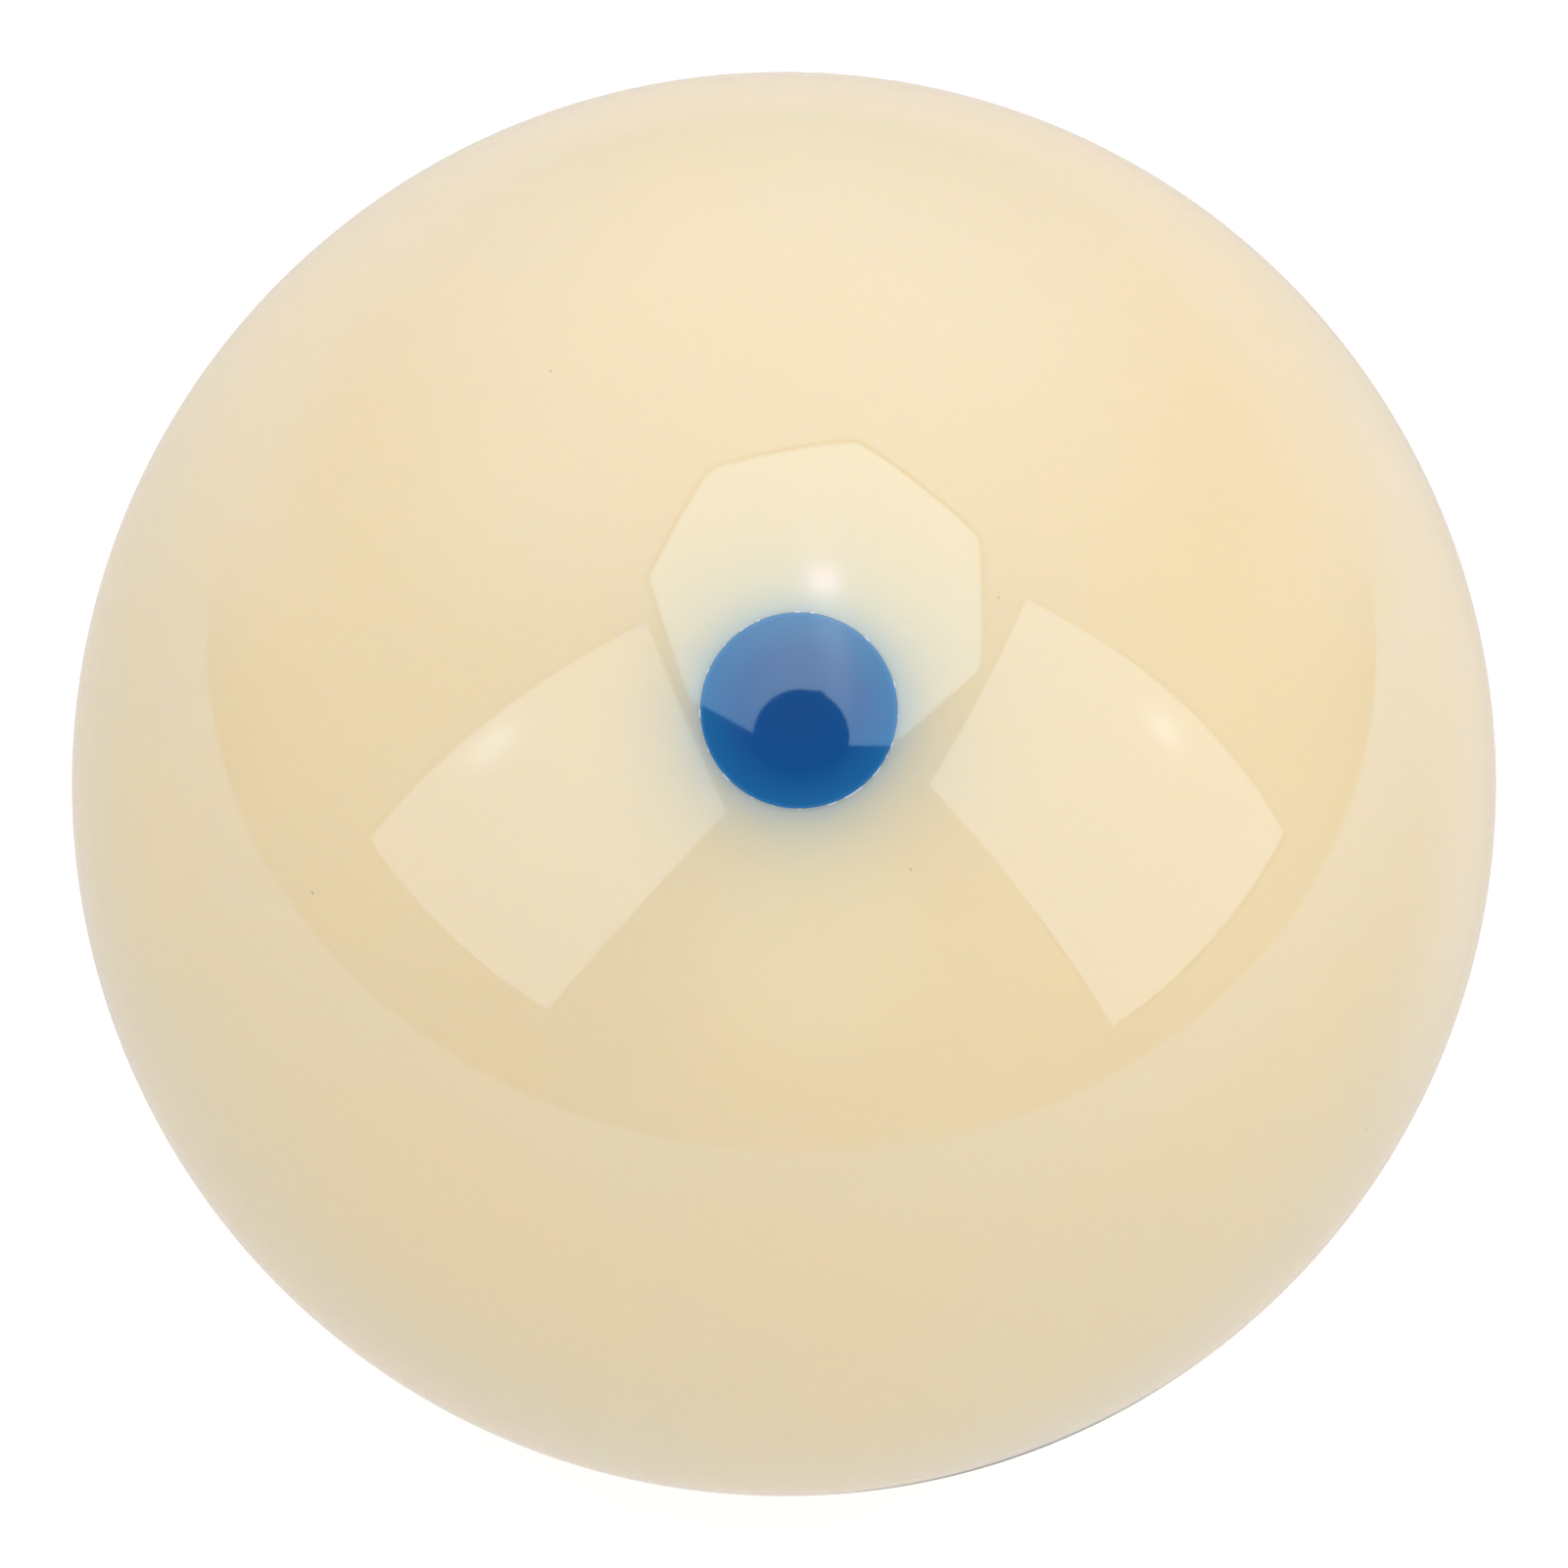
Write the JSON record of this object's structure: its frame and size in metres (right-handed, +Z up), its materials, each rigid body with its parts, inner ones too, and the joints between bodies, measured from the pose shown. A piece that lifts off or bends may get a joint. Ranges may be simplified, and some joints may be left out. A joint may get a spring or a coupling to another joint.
{
  "type": "cue ball",
  "caption": "Solid cream resin cue ball for pool, with round blue aiming spots inlaid flush at the ends of its three axes.",
  "frame": {"origin": "centre of the ball", "axes": "+Z up through the centre of the top spot, -Y through the front spot and +X through the right spot"},
  "size_m": [0.0572, 0.0572, 0.0572],
  "materials": {
    "ball_resin": "cast cream phenolic resin, ground and polished to a high gloss, slightly translucent",
    "spot_resin": "cast blue phenolic resin, ground and polished flush with the ball"
  },
  "bodies": {
    "root": {"ball_body": "ball_resin", "spot_plug_top": "spot_resin", "spot_plug_bottom": "spot_resin", "spot_plug_front": "spot_resin", "spot_plug_back": "spot_resin", "spot_plug_left": "spot_resin", "spot_plug_right": "spot_resin"}
  },
  "joints": []
}
